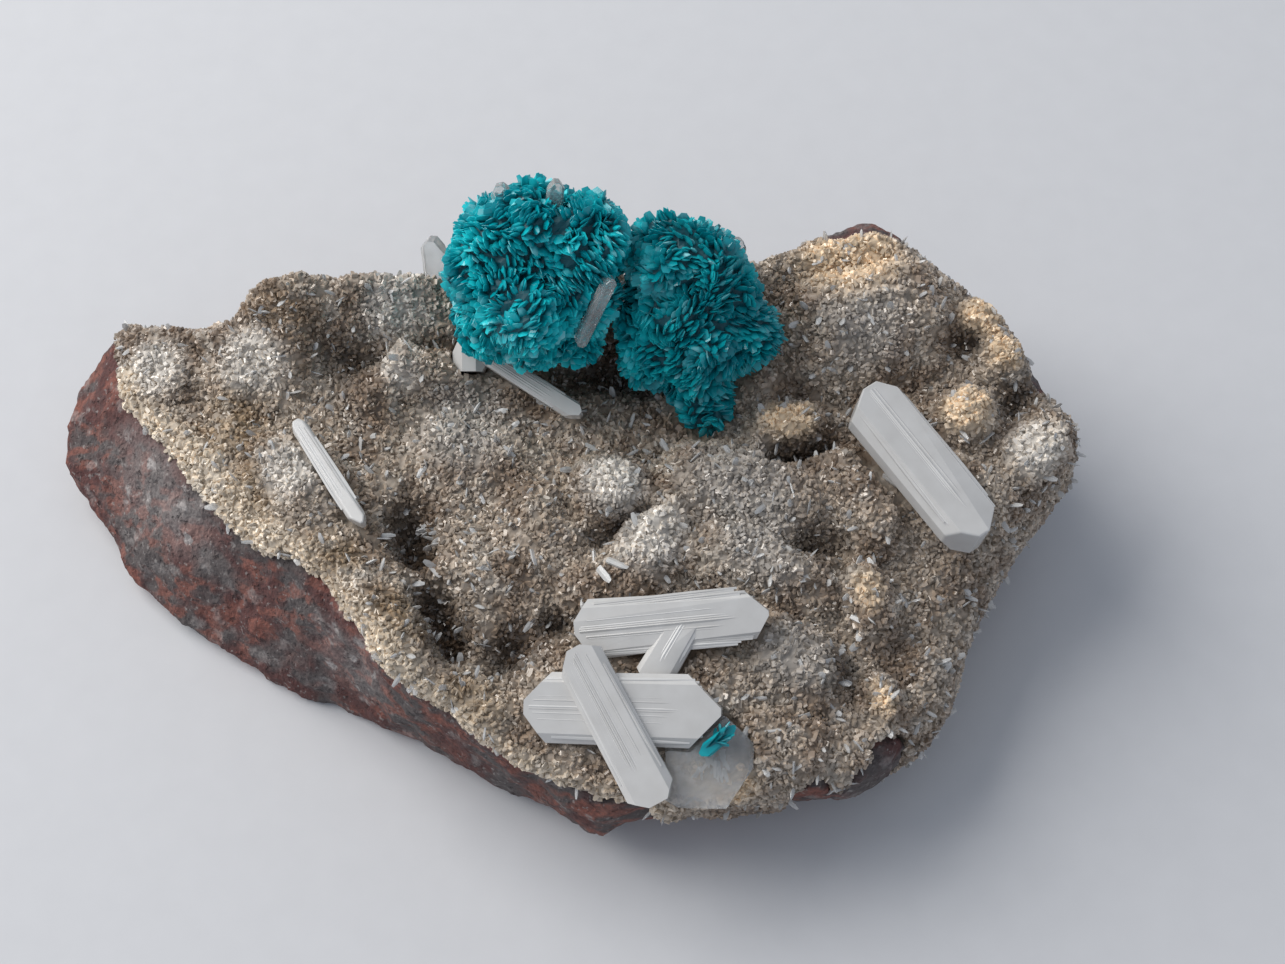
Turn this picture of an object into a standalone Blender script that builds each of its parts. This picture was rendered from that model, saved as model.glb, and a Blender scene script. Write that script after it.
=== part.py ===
"""A cavansite specimen: blue rosettes and white stilbite on a drusy lump of basalt.

The model is in metres with +Z up. +X runs along the specimen, +Y runs from its front edge to the
back edge where the rosettes stand, and the origin is the middle of the flat resting face.
Sizes below are written in millimetres and are turned into metres by MM.
"""
import math

import bmesh
import bpy
from mathutils import Matrix, Vector, noise

MM = 0.001

# Driving dimensions, in millimetres
LUMP_STRETCH = 1.85       # length of the lump over its depth, for the angle around it
DISH_FLOOR = 15.2         # height of the druse surface in the middle of the top
DRUSE_THICKNESS = 2.0     # druse on the top of the basalt
WRAP_THICKNESS = 1.8      # druse that wraps over the right side and the back
CONTACT_GAP = 0.3         # clearance between pieces that touch
BARE_MARGIN = 2.5         # how far the dividing surface passes outside a bare wall
FOOT_MARGIN = 6.0         # how far it passes outside the foot
WALL_ROUGHNESS = 0.9      # height of the rock's broken lumps
WALL_GRAIN = 9.0          # size of those lumps
DRUSE_ROUGHNESS = 0.35    # height of the crust's small lumps
DRUSE_GRAIN = 2.6         # size of those lumps
LUMP_TRIANGLES = 2600
DIVIDER_TRIANGLES = 700
ROSETTE_TRIANGLES = 420

# Where the rings lie on the ball that the lump is shaped from, as angles of elevation
RIM_ANGLE = math.radians(-8)
GIRTH_ANGLE = math.radians(-27)
FOOT_ANGLE = math.radians(-50)
EDGE_BLEND = math.radians(9)

# Rings around the lump, as x, y, z: the top edge, the widest line, and the foot on the ground
RIM = (
    (-37.8, 18.2, 14.8), (-38.0, 14.6, 15.0), (-37.6, 11.6, 14.6), (-34.6, 8.4, 15.5),
    (-31.8, 5.2, 16.0), (-29.8, 1.2, 16.0), (-26.6, -2.1, 16.0), (-20.5, -5.4, 16.5),
    (-15.8, -10.2, 16.5), (-13.0, -15.2, 16.0), (-9.4, -18.4, 15.0), (-4.8, -21.4, 14.0),
    (0.8, -23.6, 13.2), (8.1, -24.8, 12.8), (17.0, -23.2, 13.8), (24.4, -21.8, 13.0),
    (29.2, -18.2, 12.2), (31.2, -12.0, 12.8), (34.8, -4.6, 14.8), (39.8, 0.8, 16.8),
    (43.2, 4.4, 18.0), (40.8, 11.0, 18.0), (38.8, 15.8, 18.4), (35.4, 19.6, 19.6),
    (31.0, 22.4, 21.0), (26.4, 22.6, 21.2), (21.0, 21.6, 20.4), (14.0, 20.2, 19.0),
    (4.0, 19.8, 18.2), (-8.0, 20.0, 18.8), (-16.0, 19.4, 20.0), (-24.4, 18.4, 20.4),
    (-30.6, 16.6, 17.2), (-34.4, 17.2, 15.6),
)
GIRTH = (
    (-40.6, 19.6, 12.6), (-44.6, 16.0, 8.6), (-45.9, 11.8, 6.0), (-45.6, 8.4, 4.0),
    (-41.8, 3.0, 2.4), (-33.2, -5.9, 1.4), (-26.0, -10.6, 1.2), (-20.6, -13.3, 1.2),
    (-15.8, -15.1, 1.6), (-9.2, -18.4, 3.2), (-3.2, -22.1, 5.4), (1.4, -24.6, 6.8),
    (3.9, -26.3, 7.6), (6.2, -25.4, 9.6), (10.0, -25.4, 11.0), (17.3, -25.0, 11.6),
    (25.4, -23.8, 10.0), (30.6, -20.6, 8.4), (33.2, -17.2, 7.6), (35.6, -10.1, 7.4),
    (40.2, -2.3, 9.4), (43.8, 2.0, 12.6), (45.4, 4.8, 14.6), (43.9, 11.9, 12.6),
    (42.3, 17.0, 13.4), (38.6, 21.0, 13.4), (34.2, 24.2, 15.4), (30.4, 26.2, 18.2),
    (27.2, 27.2, 18.8), (23.8, 26.0, 17.4), (20.0, 24.4, 14.6), (13.0, 23.4, 11.0), (0.0, 22.8, 9.6), (-14.0, 22.4, 9.6),
    (-24.4, 21.4, 9.8), (-32.0, 19.6, 9.6), (-36.6, 19.8, 10.6),
)
FOOT = (
    (-40.5, 15.5, -0.6), (-43.0, 9.6, -0.6), (-39.0, 3.0, -0.6), (-31.0, -4.4, -0.6),
    (-20.0, -11.0, -0.6), (-12.5, -13.6, -0.6), (-5.0, -16.0, -0.6), (6.0, -18.0, -0.6),
    (17.0, -17.6, -0.6), (25.0, -15.0, -0.6), (30.0, -9.4, -0.6), (33.4, -2.0, -0.6),
    (38.0, 5.0, -0.6), (38.6, 12.0, -0.6), (34.0, 18.6, -0.6), (25.0, 22.4, -0.6),
    (10.0, 20.8, -0.6), (-8.0, 20.4, -0.6), (-22.0, 19.0, -0.6), (-33.0, 17.6, -0.6),
)

# How the druse meets the wall around the lump: where along the wall's angle it is rounded and
# wraps over the edge (1), and where it is broken off flush with the wall (0), as x, y, amount
WRAP = (
    (-45.0, 10.0, 0.0), (-20.0, -13.0, 0.0), (3.0, -26.0, 0.0), (7.0, -26.0, 0.4),
    (12.0, -26.0, 0.8), (18.0, -26.0, 1.0), (30.0, -20.0, 1.0), (45.0, 5.0, 1.0),
    (44.0, 12.0, 0.3), (42.0, 17.0, 0.0), (30.0, 26.0, 0.0), (14.0, 23.0, 0.2),
    (0.0, 22.0, 0.5), (-15.0, 22.0, 0.3), (-29.0, 19.0, 0.2), (-37.0, 19.0, 0.0),
)

# Mounds and ridges of the druse: start x, y, end x, y, radius, height above the dish
MOUNDS = (
    (-24.6, 18.0, -23.4, 18.6, 4.4, 3.0),     # brown knob at the back, left
    (-17.6, 18.2, -12.0, 18.4, 4.0, 2.4),     # grey mound beside it
    (-28.6, 13.2, -24.6, 13.8, 4.4, 2.3),     # whitish mound in front of the knob
    (-36.0, 15.2, -33.6, 13.4, 2.6, 0.8),     # pale shelf at the left tip
    (-16.6, 10.0, -16.0, 10.6, 2.2, 1.4),     # small mound behind the left needle
    (-13.7, 12.2, -13.3, 12.6, 2.0, 2.7),     # pale nodule
    (-11.6, 12.0, -8.6, 12.0, 2.2, 2.0),      # low ridge from it to the needle's stub
    (-24.6, 3.6, -21.4, 1.2, 4.4, 1.9),       # grey mound under the left needle
    (-29.2, 8.8, -28.2, 6.4, 2.4, 0.8),       # brown ground near the left edge
    (-21.4, -4.4, -17.0, -8.2, 2.6, 0.9),     # golden ridge along the left edge
    (-15.4, -9.8, -11.6, -14.2, 2.9, 1.7),    # its high lower end
    (-9.8, -17.6, -5.6, -19.6, 2.2, 0.8),     # golden ground behind the front edge
    (-8.6, 4.6, -5.2, 4.0, 4.2, 1.4),         # broad mound left of the middle
    (-2.0, -0.8, -0.4, -3.4, 3.6, 2.2),       # brownish mound in the middle
    (-7.0, -5.0, -5.0, -6.6, 3.4, 0.9),       # slope below it
    (4.6, 1.2, 5.2, 0.8, 4.1, 3.3),           # round whitish nodule in the middle
    (9.2, -1.6, 7.4, -6.4, 3.4, 3.0),         # spray of glassy blades
    (3.2, -7.6, 5.4, -8.2, 2.8, 2.0),         # its left shoulder
    (12.6, 2.0, 20.4, 0.0, 4.2, 3.3),         # grey ridge in front of the slot
    (14.4, -4.6, 17.6, -5.4, 3.6, 2.8),       # lower ridge
    (19.6, -6.8, 22.4, -7.6, 3.0, 3.2),       # ledge over the front mounds
    (26.4, -7.8, 27.2, -11.0, 2.1, 4.0),      # cream nodule
    (19.0, -13.6, 22.4, -15.4, 3.6, 2.8),     # grey mound at the front, right
    (27.2, -16.8, 28.2, -19.2, 1.8, 2.6),     # cream nodule near the front edge
    (17.6, -20.8, 20.6, -21.8, 2.8, 1.8),     # finger over the front edge
    (12.6, -15.6, 14.6, -17.2, 3.2, 1.6),     # brown ground right of the blades
    (19.4, 6.6, 21.4, 6.6, 2.9, 3.2),         # tan nodule behind the slot
    (24.6, 2.2, 27.6, -2.4, 3.0, 3.6),        # ground beside the block
    (31.0, 2.4, 36.0, -1.2, 4.4, 3.0),        # ground under the block
    (35.4, 6.6, 35.8, 6.8, 3.1, 4.6),         # large round tan nodule
    (37.6, 16.2, 38.2, 16.4, 2.6, 2.6),       # nodule at the back, right
    (39.2, 12.6, 39.8, 12.8, 2.4, 2.6),       # nodule in front of it
    (24.8, 15.4, 30.2, 16.4, 5.6, 4.6),       # broad mound at the back, right
    (21.4, 21.2, 29.0, 22.6, 3.2, 1.2),       # pale ridge along the back edge
    (40.4, 3.2, 42.6, 4.2, 3.4, 1.4),         # right corner
    (31.6, -14.6, 32.2, -15.6, 2.2, 1.4),     # finger on the right slope
    (15.0, 13.6, 17.6, 11.4, 3.4, 2.6),       # brown slope right of the right rosette
    (-6.0, 18.8, 15.6, 18.8, 4.2, 2.6),       # ridge that carries the rosettes
    (2.0, -17.4, 11.6, -18.4, 5.0, 1.6),      # ground that carries the white blades
)

# Hollows and crevices of the druse: start x, y, end x, y, radius, depth below the dish
HOLLOWS = (
    (-33.0, 10.4, -31.2, 8.0, 2.6, 1.2),      # brown hollow at the left
    (-27.6, 3.4, -25.2, -0.6, 2.4, 1.0),      # brown hollow in front of it
    (-20.4, 13.8, -16.6, 13.8, 2.4, 1.6),     # dark valley behind the small mound
    (-28.2, 16.6, -24.8, 16.4, 1.6, 1.0),     # crease behind the whitish mound
    (-12.8, -1.4, -12.0, -4.4, 2.9, 5.2),     # deep pocket right of the golden ridge
    (-10.4, -8.8, -8.4, -13.0, 2.8, 4.6),     # second pocket, in front of it
    (-4.8, -14.6, -2.4, -12.4, 2.6, 2.4),     # brown ground left of the blades
    (0.0, -10.8, 0.8, -11.2, 1.8, 3.0),       # pocket at the end of the upper blade
    (3.4, -3.4, 8.4, -1.0, 1.3, 2.4),         # crevice in front of the round nodule
    (0.8, 0.2, 1.2, -1.6, 1.2, 1.4),          # crease on its left
    (2.0, 13.6, 7.6, 13.2, 3.6, 2.6),         # dark ground below the rosettes
    (19.4, 4.0, 24.0, 4.4, 1.5, 4.6),         # dark slot behind the grey ridge
    (20.4, -4.4, 25.0, -4.6, 1.6, 1.6),       # crease behind the ledge
    (24.6, -12.8, 24.8, -16.8, 1.6, 1.4),     # crease between the front mounds
    (36.4, 14.4, 36.8, 14.6, 1.4, 1.6),       # small dark pit
    (40.0, 8.4, 41.0, 9.6, 1.9, 2.4),         # brown hollow at the right edge
)

# Places where basalt breaks through the edge of the druse: x, y, z, radius, half height
WINDOWS = (
    (21.8, -24.4, 7.6, 2.6, 5.0),             # small arch in the front edge
    (26.2, -22.8, 7.0, 3.2, 5.4),             # larger window beside it
    (28.0, -21.4, 10.0, 2.5, 3.2),            # its upper end
    (25.2, 26.6, 19.0, 3.0, 2.8),             # dark edge behind the back ridge
    (28.8, 27.0, 19.4, 3.2, 2.8),             # its right end
    (41.2, 17.6, 14.6, 2.4, 3.2),             # dark edge at the right
    (43.4, 12.4, 14.4, 2.4, 3.0),             # its lower end
)
WINDOW_STEP = 0.30        # how far a window's edge steps in and out, as a share of its radius

# Balls that a rosette's lobes follow: x, y, z from the rosette's middle, and radius
LEFT_MIDDLE = (-1.2, 16.0, 26.4)
LEFT_LOBES = (
    (0.0, 0.0, 0.0, 5.9), (-4.4, 0.4, 1.0, 3.9), (-3.6, -1.8, -2.4, 4.0), (-3.0, 0.6, 4.0, 3.9),
    (-1.2, 1.4, 5.6, 3.9), (1.6, 1.0, 5.0, 3.5), (4.0, 0.8, 4.8, 3.9), (2.4, -1.6, 0.8, 4.4),
    (-0.6, -3.0, 1.2, 4.4), (-1.0, -2.6, -3.4, 4.0), (1.6, -2.0, -3.0, 4.0), (0.8, 4.0, 0.6, 4.2),
    (0.4, 0.8, -6.4, 3.6), (-3.6, 3.0, 0.6, 4.2), (3.6, 3.2, 0.8, 3.8),
)
RIGHT_MIDDLE = (11.8, 14.4, 24.2)
RIGHT_LOBES = (
    (0.0, 0.0, 0.0, 5.2), (-1.9, 2.2, 4.4, 4.0), (0.5, 1.4, 4.0, 3.6), (4.3, -1.2, -1.4, 3.4),
    (2.4, 0.4, 0.6, 3.6), (2.8, -1.2, -3.8, 3.4), (-3.0, -1.4, -1.8, 3.8), (-2.2, -1.4, -4.2, 3.4),
    (0.8, -2.2, -0.8, 4.2), (0.6, -2.4, -3.6, 3.8), (0.9, -4.4, -5.6, 2.9), (1.1, -5.8, -6.9, 2.4),
    (0.4, 3.4, 0.4, 4.2), (0.0, 0.8, -5.6, 3.6),
)
SERRATION = 0.45          # height of the steps between a rosette's bundles of blades

# Bladed crystals: the two tips, the size across, the way the broad face looks, and how each tip
# is pointed (setback of the left and right shoulders, then how far left and right its flat runs
# as a share of the half width). Taper is the width at the far tip over the width at the near one
CRYSTALS = {
    "upper blade": dict(
        tips=((2.0, -12.6, 16.7), (18.1, -11.8, 18.6)), width=5.2, thickness=1.9,
        facing=(-0.10, -0.45, 0.90), near=(1.3, 1.4, 0.3, 0.1), far=(1.9, 1.2, 0.1, 0.1), taper=0.76,
    ),
    "lower blade": dict(
        tips=((-2.1, -18.9, 15.5), (14.1, -19.9, 16.8)), width=5.8, thickness=2.0,
        facing=(-0.05, -0.40, 0.90), near=(2.2, 1.8, 0.2, 0.2), far=(2.8, 2.6, 0.1, 0.1), taper=1.05,
    ),
    "crossing blade": dict(
        tips=((2.0, -15.0, 18.6), (8.8, -27.0, 14.5)), width=4.0, thickness=1.8,
        facing=(-0.20, -0.20, 0.95), near=(0.9, 1.6, 0.3, 0.3), far=(1.2, 1.2, 0.5, 0.3), taper=1.05,
    ),
    "wedge branch": dict(
        tips=((12.2, -10.8, 18.4), (8.3, -17.0, 16.3)), width=2.8, thickness=1.4,
        facing=(-0.15, -0.35, 0.93), near=(0.8, 0.8, 0.4, 0.4), far=(0.4, 0.4, 0.6, 0.6), taper=1.15,
    ),
    "stilbite_plate": dict(
        tips=((13.2, -19.4, 15.8), (13.0, -26.9, 13.1)), width=7.4, thickness=1.4,
        facing=(0.00, -0.35, 0.94), near=(2.6, 0.6, 0.2, 0.8), far=(3.4, 0.6, 0.4, 0.7), taper=0.96,
    ),
    "stilbite_block": dict(
        tips=((26.8, 8.2, 20.2), (36.3, -5.0, 18.4)), width=5.8, thickness=3.6,
        facing=(0.10, 0.00, 1.00), near=(2.3, 1.6, 0.3, 0.2), far=(2.0, 1.9, 0.1, 0.3), taper=0.94,
    ),
    "stilbite_needle_left": dict(
        tips=((-22.7, 7.0, 17.5), (-16.3, -3.1, 17.4)), width=1.5, thickness=1.2,
        facing=(0.00, -0.20, 1.00), near=(0.8, 0.8, 0.4, 0.4), far=(0.8, 1.2, 0.3, 0.1), taper=1.0,
    ),
    "needle": dict(
        tips=((-7.4, 14.0, 18.5), (2.2, 7.5, 17.8)), width=1.5, thickness=1.2,
        facing=(0.00, -0.30, 1.00), near=(0.4, 0.4, 0.6, 0.6), far=(0.7, 1.1, 0.3, 0.2), taper=1.15,
    ),
    "stub": dict(
        tips=((-7.6, 14.6, 15.6), (-7.7, 12.7, 19.2)), width=3.2, thickness=2.6,
        facing=(0.00, -0.90, -0.40), near=(0.3, 0.3, 0.8, 0.8), far=(0.9, 0.9, 0.4, 0.4), taper=0.95,
    ),
    "stilbite_rod": dict(
        tips=((5.0, 12.9, 31.4), (2.2, 9.9, 25.8)), width=1.3, thickness=1.1,
        facing=(0.40, -0.80, 0.45), near=(0.4, 0.6, 0.4, 0.4), far=(0.5, 0.5, 0.4, 0.4), taper=1.0,
    ),
    "clear_crystal_back": dict(
        tips=((-10.5, 19.2, 17.6), (-10.9, 22.0, 23.9)), width=2.6, thickness=1.1,
        facing=(-0.20, -0.90, 0.40), near=(0.3, 0.3, 0.8, 0.8), far=(0.9, 1.4, 0.3, 0.2), taper=0.9,
    ),
    "clear_crystal_top_left": dict(
        tips=((-2.8, 17.6, 29.4), (-4.4, 20.4, 34.2)), width=2.2, thickness=0.8,
        facing=(-0.10, -0.90, 0.50), near=(0.3, 0.3, 0.8, 0.8), far=(0.8, 1.0, 0.3, 0.3), taper=0.9,
    ),
    "clear_crystal_top": dict(
        tips=((-0.2, 17.4, 31.4), (0.5, 19.6, 35.8)), width=1.6, thickness=0.9,
        facing=(0.20, -0.90, 0.50), near=(0.3, 0.3, 0.8, 0.8), far=(0.8, 0.6, 0.3, 0.3), taper=0.9,
    ),
    "clear_crystal_right": dict(
        tips=((14.8, 17.2, 21.6), (16.0, 20.4, 26.2)), width=1.9, thickness=1.0,
        facing=(0.30, -0.90, 0.40), near=(0.3, 0.3, 0.8, 0.8), far=(0.7, 0.9, 0.3, 0.3), taper=0.9,
    ),
    "cavansite_fleck": dict(
        tips=((12.3, -23.3, 15.9), (15.2, -21.2, 16.8)), width=1.3, thickness=0.7,
        facing=(0.00, -0.35, 0.94), near=(0.8, 0.6, 0.3, 0.2), far=(0.6, 0.8, 0.4, 0.2), taper=0.8,
    ),
}

# Which crystals grew into one solid, the finish of those that stand alone, and the two rosettes
JOINED = {
    "stilbite_cluster": ("lower blade", "crossing blade", "wedge branch", "upper blade"),
    "stilbite_needle_centre": ("needle", "stub"),
}
SINGLE = {
    "stilbite_plate": "clear",
    "stilbite_block": "stilbite",
    "stilbite_needle_left": "stilbite",
    "stilbite_rod": "clear",
    "clear_crystal_back": "clear",
    "clear_crystal_top_left": "clear",
    "clear_crystal_top": "clear",
    "clear_crystal_right": "clear",
    "cavansite_fleck": "cavansite",
}
ROSETTES = {
    "cavansite_rosette_left": (LEFT_MIDDLE, LEFT_LOBES),
    "cavansite_rosette_right": (RIGHT_MIDDLE, RIGHT_LOBES),
}

# Pieces that are notched where a neighbour grew against them
MAKES_ROOM_FOR = {
    "stilbite_plate": ("lower blade", "crossing blade"),
    "cavansite_fleck": ("stilbite_plate", "lower blade"),
    "cavansite_rosette_left": (
        "stilbite_rod", "stub", "needle", "clear_crystal_back", "clear_crystal_top_left",
        "clear_crystal_top",
    ),
    "cavansite_rosette_right": ("cavansite_rosette_left", "clear_crystal_right"),
}

# Colour and roughness of each kind of piece
FINISHES = {
    "basalt": ((0.120, 0.068, 0.066, 1.0), 0.90),
    "druse": ((0.330, 0.250, 0.180, 1.0), 0.55),
    "cavansite": ((0.004, 0.300, 0.360, 1.0), 0.40),
    "stilbite": ((0.640, 0.620, 0.590, 1.0), 0.28),
    "clear": ((0.700, 0.710, 0.700, 1.0), 0.12),
}


def clear_scene():
    """Remove everything that the file already holds."""
    for item in list(bpy.data.objects):
        bpy.data.objects.remove(item)


def new_collection(name):
    """Add a collection to the scene."""
    collection = bpy.data.collections.new(name)
    bpy.context.scene.collection.children.link(collection)
    return collection


def material(finish):
    """Return the material of a kind of piece, made the first time it is asked for."""
    if finish in bpy.data.materials:
        return bpy.data.materials[finish]
    colour, roughness = FINISHES[finish]
    made = bpy.data.materials.new(finish)
    made.use_nodes = True
    shader = made.node_tree.nodes["Principled BSDF"]
    shader.inputs["Base Color"].default_value = colour
    shader.inputs["Roughness"].default_value = roughness
    shader.inputs["Metallic"].default_value = 0.0
    return made


def add_piece(name, shape, collection, finish=None):
    """Turn a bmesh into an object, as a piece with a finish or else as a cutter."""
    mesh = bpy.data.meshes.new(name)
    shape.to_mesh(mesh)
    shape.free()
    piece = bpy.data.objects.new(name, mesh)
    collection.objects.link(piece)
    if finish:
        mesh.materials.append(material(finish))
    else:
        piece.hide_render = True
        piece.display_type = "WIRE"
    return piece


def settle(piece):
    """Apply a piece's modifiers to its mesh."""
    view = bpy.context.evaluated_depsgraph_get()
    mesh = bpy.data.meshes.new_from_object(piece.evaluated_get(view))
    piece.modifiers.clear()
    piece.data = mesh


def keep_largest(piece):
    """Drop the crumbs that a cut leaves, and keep the part with the most corners."""
    shape = bmesh.new()
    shape.from_mesh(piece.data)
    waiting = set(shape.verts)
    parts = []
    while waiting:
        front = [waiting.pop()]
        part = list(front)
        while front:
            corner = front.pop()
            for edge in corner.link_edges:
                other = edge.other_vert(corner)
                if other in waiting:
                    waiting.remove(other)
                    front.append(other)
                    part.append(other)
        parts.append(part)
    parts.sort(key=len)
    crumbs = [corner for part in parts[:-1] for corner in part]
    bmesh.ops.delete(shape, geom=crumbs, context="VERTS")
    shape.to_mesh(piece.data)
    shape.free()


def combine(piece, tool, operation):
    """Cut a piece with a tool, or join or keep what they share, exactly."""
    modifier = piece.modifiers.new(tool.name, "BOOLEAN")
    modifier.operation = operation
    modifier.solver = "EXACT"
    modifier.object = tool
    settle(piece)
    keep_largest(piece)


def reduce(piece, triangles):
    """Thin a mesh to about a number of triangles, where it is flattest first."""
    modifier = piece.modifiers.new("Thin", "DECIMATE")
    modifier.ratio = triangles / len(piece.data.polygons)
    modifier.use_collapse_triangulate = True
    settle(piece)


def polar(x, y):
    """Return the angle around the lump and the radius in its stretched measure."""
    return math.atan2(y, x / LUMP_STRETCH), math.hypot(x / LUMP_STRETCH, y)


class Ring:
    """A smooth closed line around the lump that gives a radius and a value at each angle."""

    def __init__(self, points):
        rows = sorted((*polar(x, y), value) for x, y, value in points)
        before = [(angle - math.tau, radius, value) for angle, radius, value in rows]
        after = [(angle + math.tau, radius, value) for angle, radius, value in rows]
        self.rows = before + rows + after

    def at(self, angle):
        """Read the line with a cubic curve through the four points nearest to the angle."""
        index = 2
        while self.rows[index][0] <= angle:
            index += 1
        first, start, end, last = self.rows[index - 2:index + 2]
        span = end[0] - start[0]
        along = (angle - start[0]) / span
        result = []
        for item in (1, 2):
            leave = (end[item] - first[item]) / (end[0] - first[0]) * span
            arrive = (last[item] - start[item]) / (last[0] - start[0]) * span
            curve = (
                start[item] * (2 * along ** 3 - 3 * along ** 2 + 1)
                + leave * (along ** 3 - 2 * along ** 2 + along)
                + end[item] * (3 * along ** 2 - 2 * along ** 3)
                + arrive * (along ** 3 - along ** 2)
            )
            result.append(curve)
        return result


def nearness(x, y, form):
    """Return 1 on the line of a mound or hollow, down to 0 at its edge and beyond."""
    x0, y0, x1, y1, radius, _ = form
    run = Vector((x1 - x0, y1 - y0))
    offset = Vector((x - x0, y - y0))
    along = min(max(offset.dot(run) / run.length_squared, 0.0), 1.0)
    distance = (offset - run * along).length
    return max(1.0 - (distance / radius) ** 2, 0.0)


def relief(x, y):
    """Return how far the mounds rise and the hollows sink at a place on the druse."""
    rise = max(form[5] * nearness(x, y, form) for form in MOUNDS)
    sink = max(form[5] * nearness(x, y, form) ** 1.6 for form in HOLLOWS)
    return rise, sink


def level_foot(piece):
    """Cut a piece flat where it stands on the ground."""
    shape = bmesh.new()
    shape.from_mesh(piece.data)
    slice_off(shape, Vector(), Vector((0, 0, -1)))
    bmesh.ops.triangulate(shape, faces=[face for face in shape.faces if len(face.verts) > 3])
    shape.to_mesh(piece.data)
    shape.free()


def swell(piece, distance):
    """Move a closed surface outwards, or inwards by a distance below zero."""
    modifier = piece.modifiers.new("Swell", "DISPLACE")
    modifier.mid_level = 0.0
    modifier.strength = distance * MM
    settle(piece)


class Lump:
    """The rock's outer surface, and the surface that divides its druse from its basalt."""

    def __init__(self):
        self.rim = Ring(RIM)
        self.girth = Ring(GIRTH)
        self.foot = Ring(FOOT)
        self.wrap = Ring(WRAP)

    def place(self, direction, divider):
        """Move a point of the unit ball to its place on a surface, in millimetres."""
        angle = math.atan2(direction.y, direction.x)
        tilt = math.asin(max(min(direction.z, 1.0), -1.0))
        rim, rim_z = self.rim.at(angle)
        girth, girth_z = self.girth.at(angle)
        foot, foot_z = self.foot.at(angle)
        wrap = min(max(self.wrap.at(angle)[1], 0.0), 1.0)
        if divider:
            unit = math.hypot(LUMP_STRETCH * math.cos(angle), math.sin(angle))
            shift = (BARE_MARGIN - wrap * (BARE_MARGIN + WRAP_THICKNESS)) / unit
            rim += shift
            girth += shift
            foot += FOOT_MARGIN / unit
            rim_z -= DRUSE_THICKNESS
            foot_z -= BARE_MARGIN
        if tilt > RIM_ANGLE:
            out = math.sqrt((1 - math.sin(tilt)) / (1 - math.sin(RIM_ANGLE)))
            radius = rim * out
            floor = DISH_FLOOR - (DRUSE_THICKNESS if divider else 0.0)
            height = floor + (rim_z - floor) * out ** 2.4
        elif tilt > GIRTH_ANGLE:
            down = (RIM_ANGLE - tilt) / (RIM_ANGLE - GIRTH_ANGLE)
            turn = down * math.pi / 2
            radius = rim + (girth - rim) * (down + (math.sin(turn) - down) * wrap)
            height = rim_z + (girth_z - rim_z) * (down + (1 - math.cos(turn) - down) * wrap)
        elif tilt > FOOT_ANGLE:
            turn = (GIRTH_ANGLE - tilt) / (GIRTH_ANGLE - FOOT_ANGLE) * math.pi / 2
            radius = foot + (girth - foot) * math.cos(turn)
            height = girth_z + (foot_z - girth_z) * math.sin(turn)
        else:
            radius = foot * math.sqrt((1 + math.sin(tilt)) / (1 + math.sin(FOOT_ANGLE)))
            height = foot_z
        x = radius * math.cos(angle) * LUMP_STRETCH
        y = radius * math.sin(angle)
        spot = Vector((x, y, height))
        if tilt > GIRTH_ANGLE:
            rise, sink = relief(x, y)
            fade = 1.0 if tilt > RIM_ANGLE else 1.0 - down
            spot.z += (rise * (0.75 if divider else 1.0) - sink) * fade
            spot.z += DRUSE_ROUGHNESS * noise.noise(Vector((x, y, 0.0)) / DRUSE_GRAIN) * fade
        outward = Vector((x / LUMP_STRETCH, y, 0.0)).normalized()
        edge = min(max((RIM_ANGLE + EDGE_BLEND - tilt) / EDGE_BLEND, 0.0), 1.0)
        spot += outward * WALL_ROUGHNESS * edge * noise.fractal(spot / WALL_GRAIN, 1.0, 2.0, 3)
        return spot

    def surface(self, divider):
        """Shape a ball into one of the two surfaces."""
        shape = bmesh.new()
        bmesh.ops.create_icosphere(shape, subdivisions=6, radius=1.0)
        for corner in shape.verts:
            corner.co = self.place(corner.co.normalized(), divider) * MM
        return shape


def slice_off(shape, point, normal):
    """Cut away what lies beyond a plane, and close the cut with one face."""
    everything = shape.verts[:] + shape.edges[:] + shape.faces[:]
    bmesh.ops.bisect_plane(
        shape, geom=everything, plane_co=point, plane_no=normal, clear_outer=True
    )
    rim = [edge for edge in shape.edges if edge.is_boundary]
    if rim:
        bmesh.ops.contextual_create(shape, geom=rim)


def slice_corner(shape, first, second, along, grow):
    """Slice off a corner by the plane that holds two points and a direction."""
    normal = (second - first).cross(along).normalized()
    if normal.dot(first) < 0:
        normal.negate()
    slice_off(shape, (first + normal * grow) * MM, normal)


def crystal_shape(form, grow=0.0):
    """Facet a blade from a block that lies along X, with its broad face up."""
    near, far = (Vector(tip) for tip in form["tips"])
    length = (far - near).length
    half_width = form["width"] / 2
    half_thickness = form["thickness"] / 2
    shape = bmesh.new()
    bmesh.ops.create_cube(shape, size=2.0)
    size = Vector((length / 2 + grow, half_width + grow, half_thickness + grow))
    bmesh.ops.scale(shape, vec=size * MM, verts=shape.verts)
    for way, tip in ((-1, form["near"]), (1, form["far"])):
        for side, setback, flat in ((1, tip[0], tip[2]), (-1, tip[1], tip[3])):
            shoulder = Vector((way * (length / 2 - setback), side * half_width, 0.0))
            point = Vector((way * length / 2, side * half_width * flat, 0.0))
            slice_corner(shape, shoulder, point, Vector((0, 0, 1)), grow)
    for side in (-1, 1):
        for face in (-1, 1):
            top = Vector((0.0, side * half_width * 0.72, face * half_thickness))
            edge = Vector((0.0, side * half_width, face * half_thickness * 0.35))
            slice_corner(shape, top, edge, Vector((1, 0, 0)), grow)
    for corner in shape.verts:
        along = corner.co.x / (length * MM) + 0.5
        corner.co.y *= 1.0 + (form["taper"] - 1.0) * along
    bmesh.ops.recalc_face_normals(shape, faces=shape.faces)
    return shape


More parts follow.
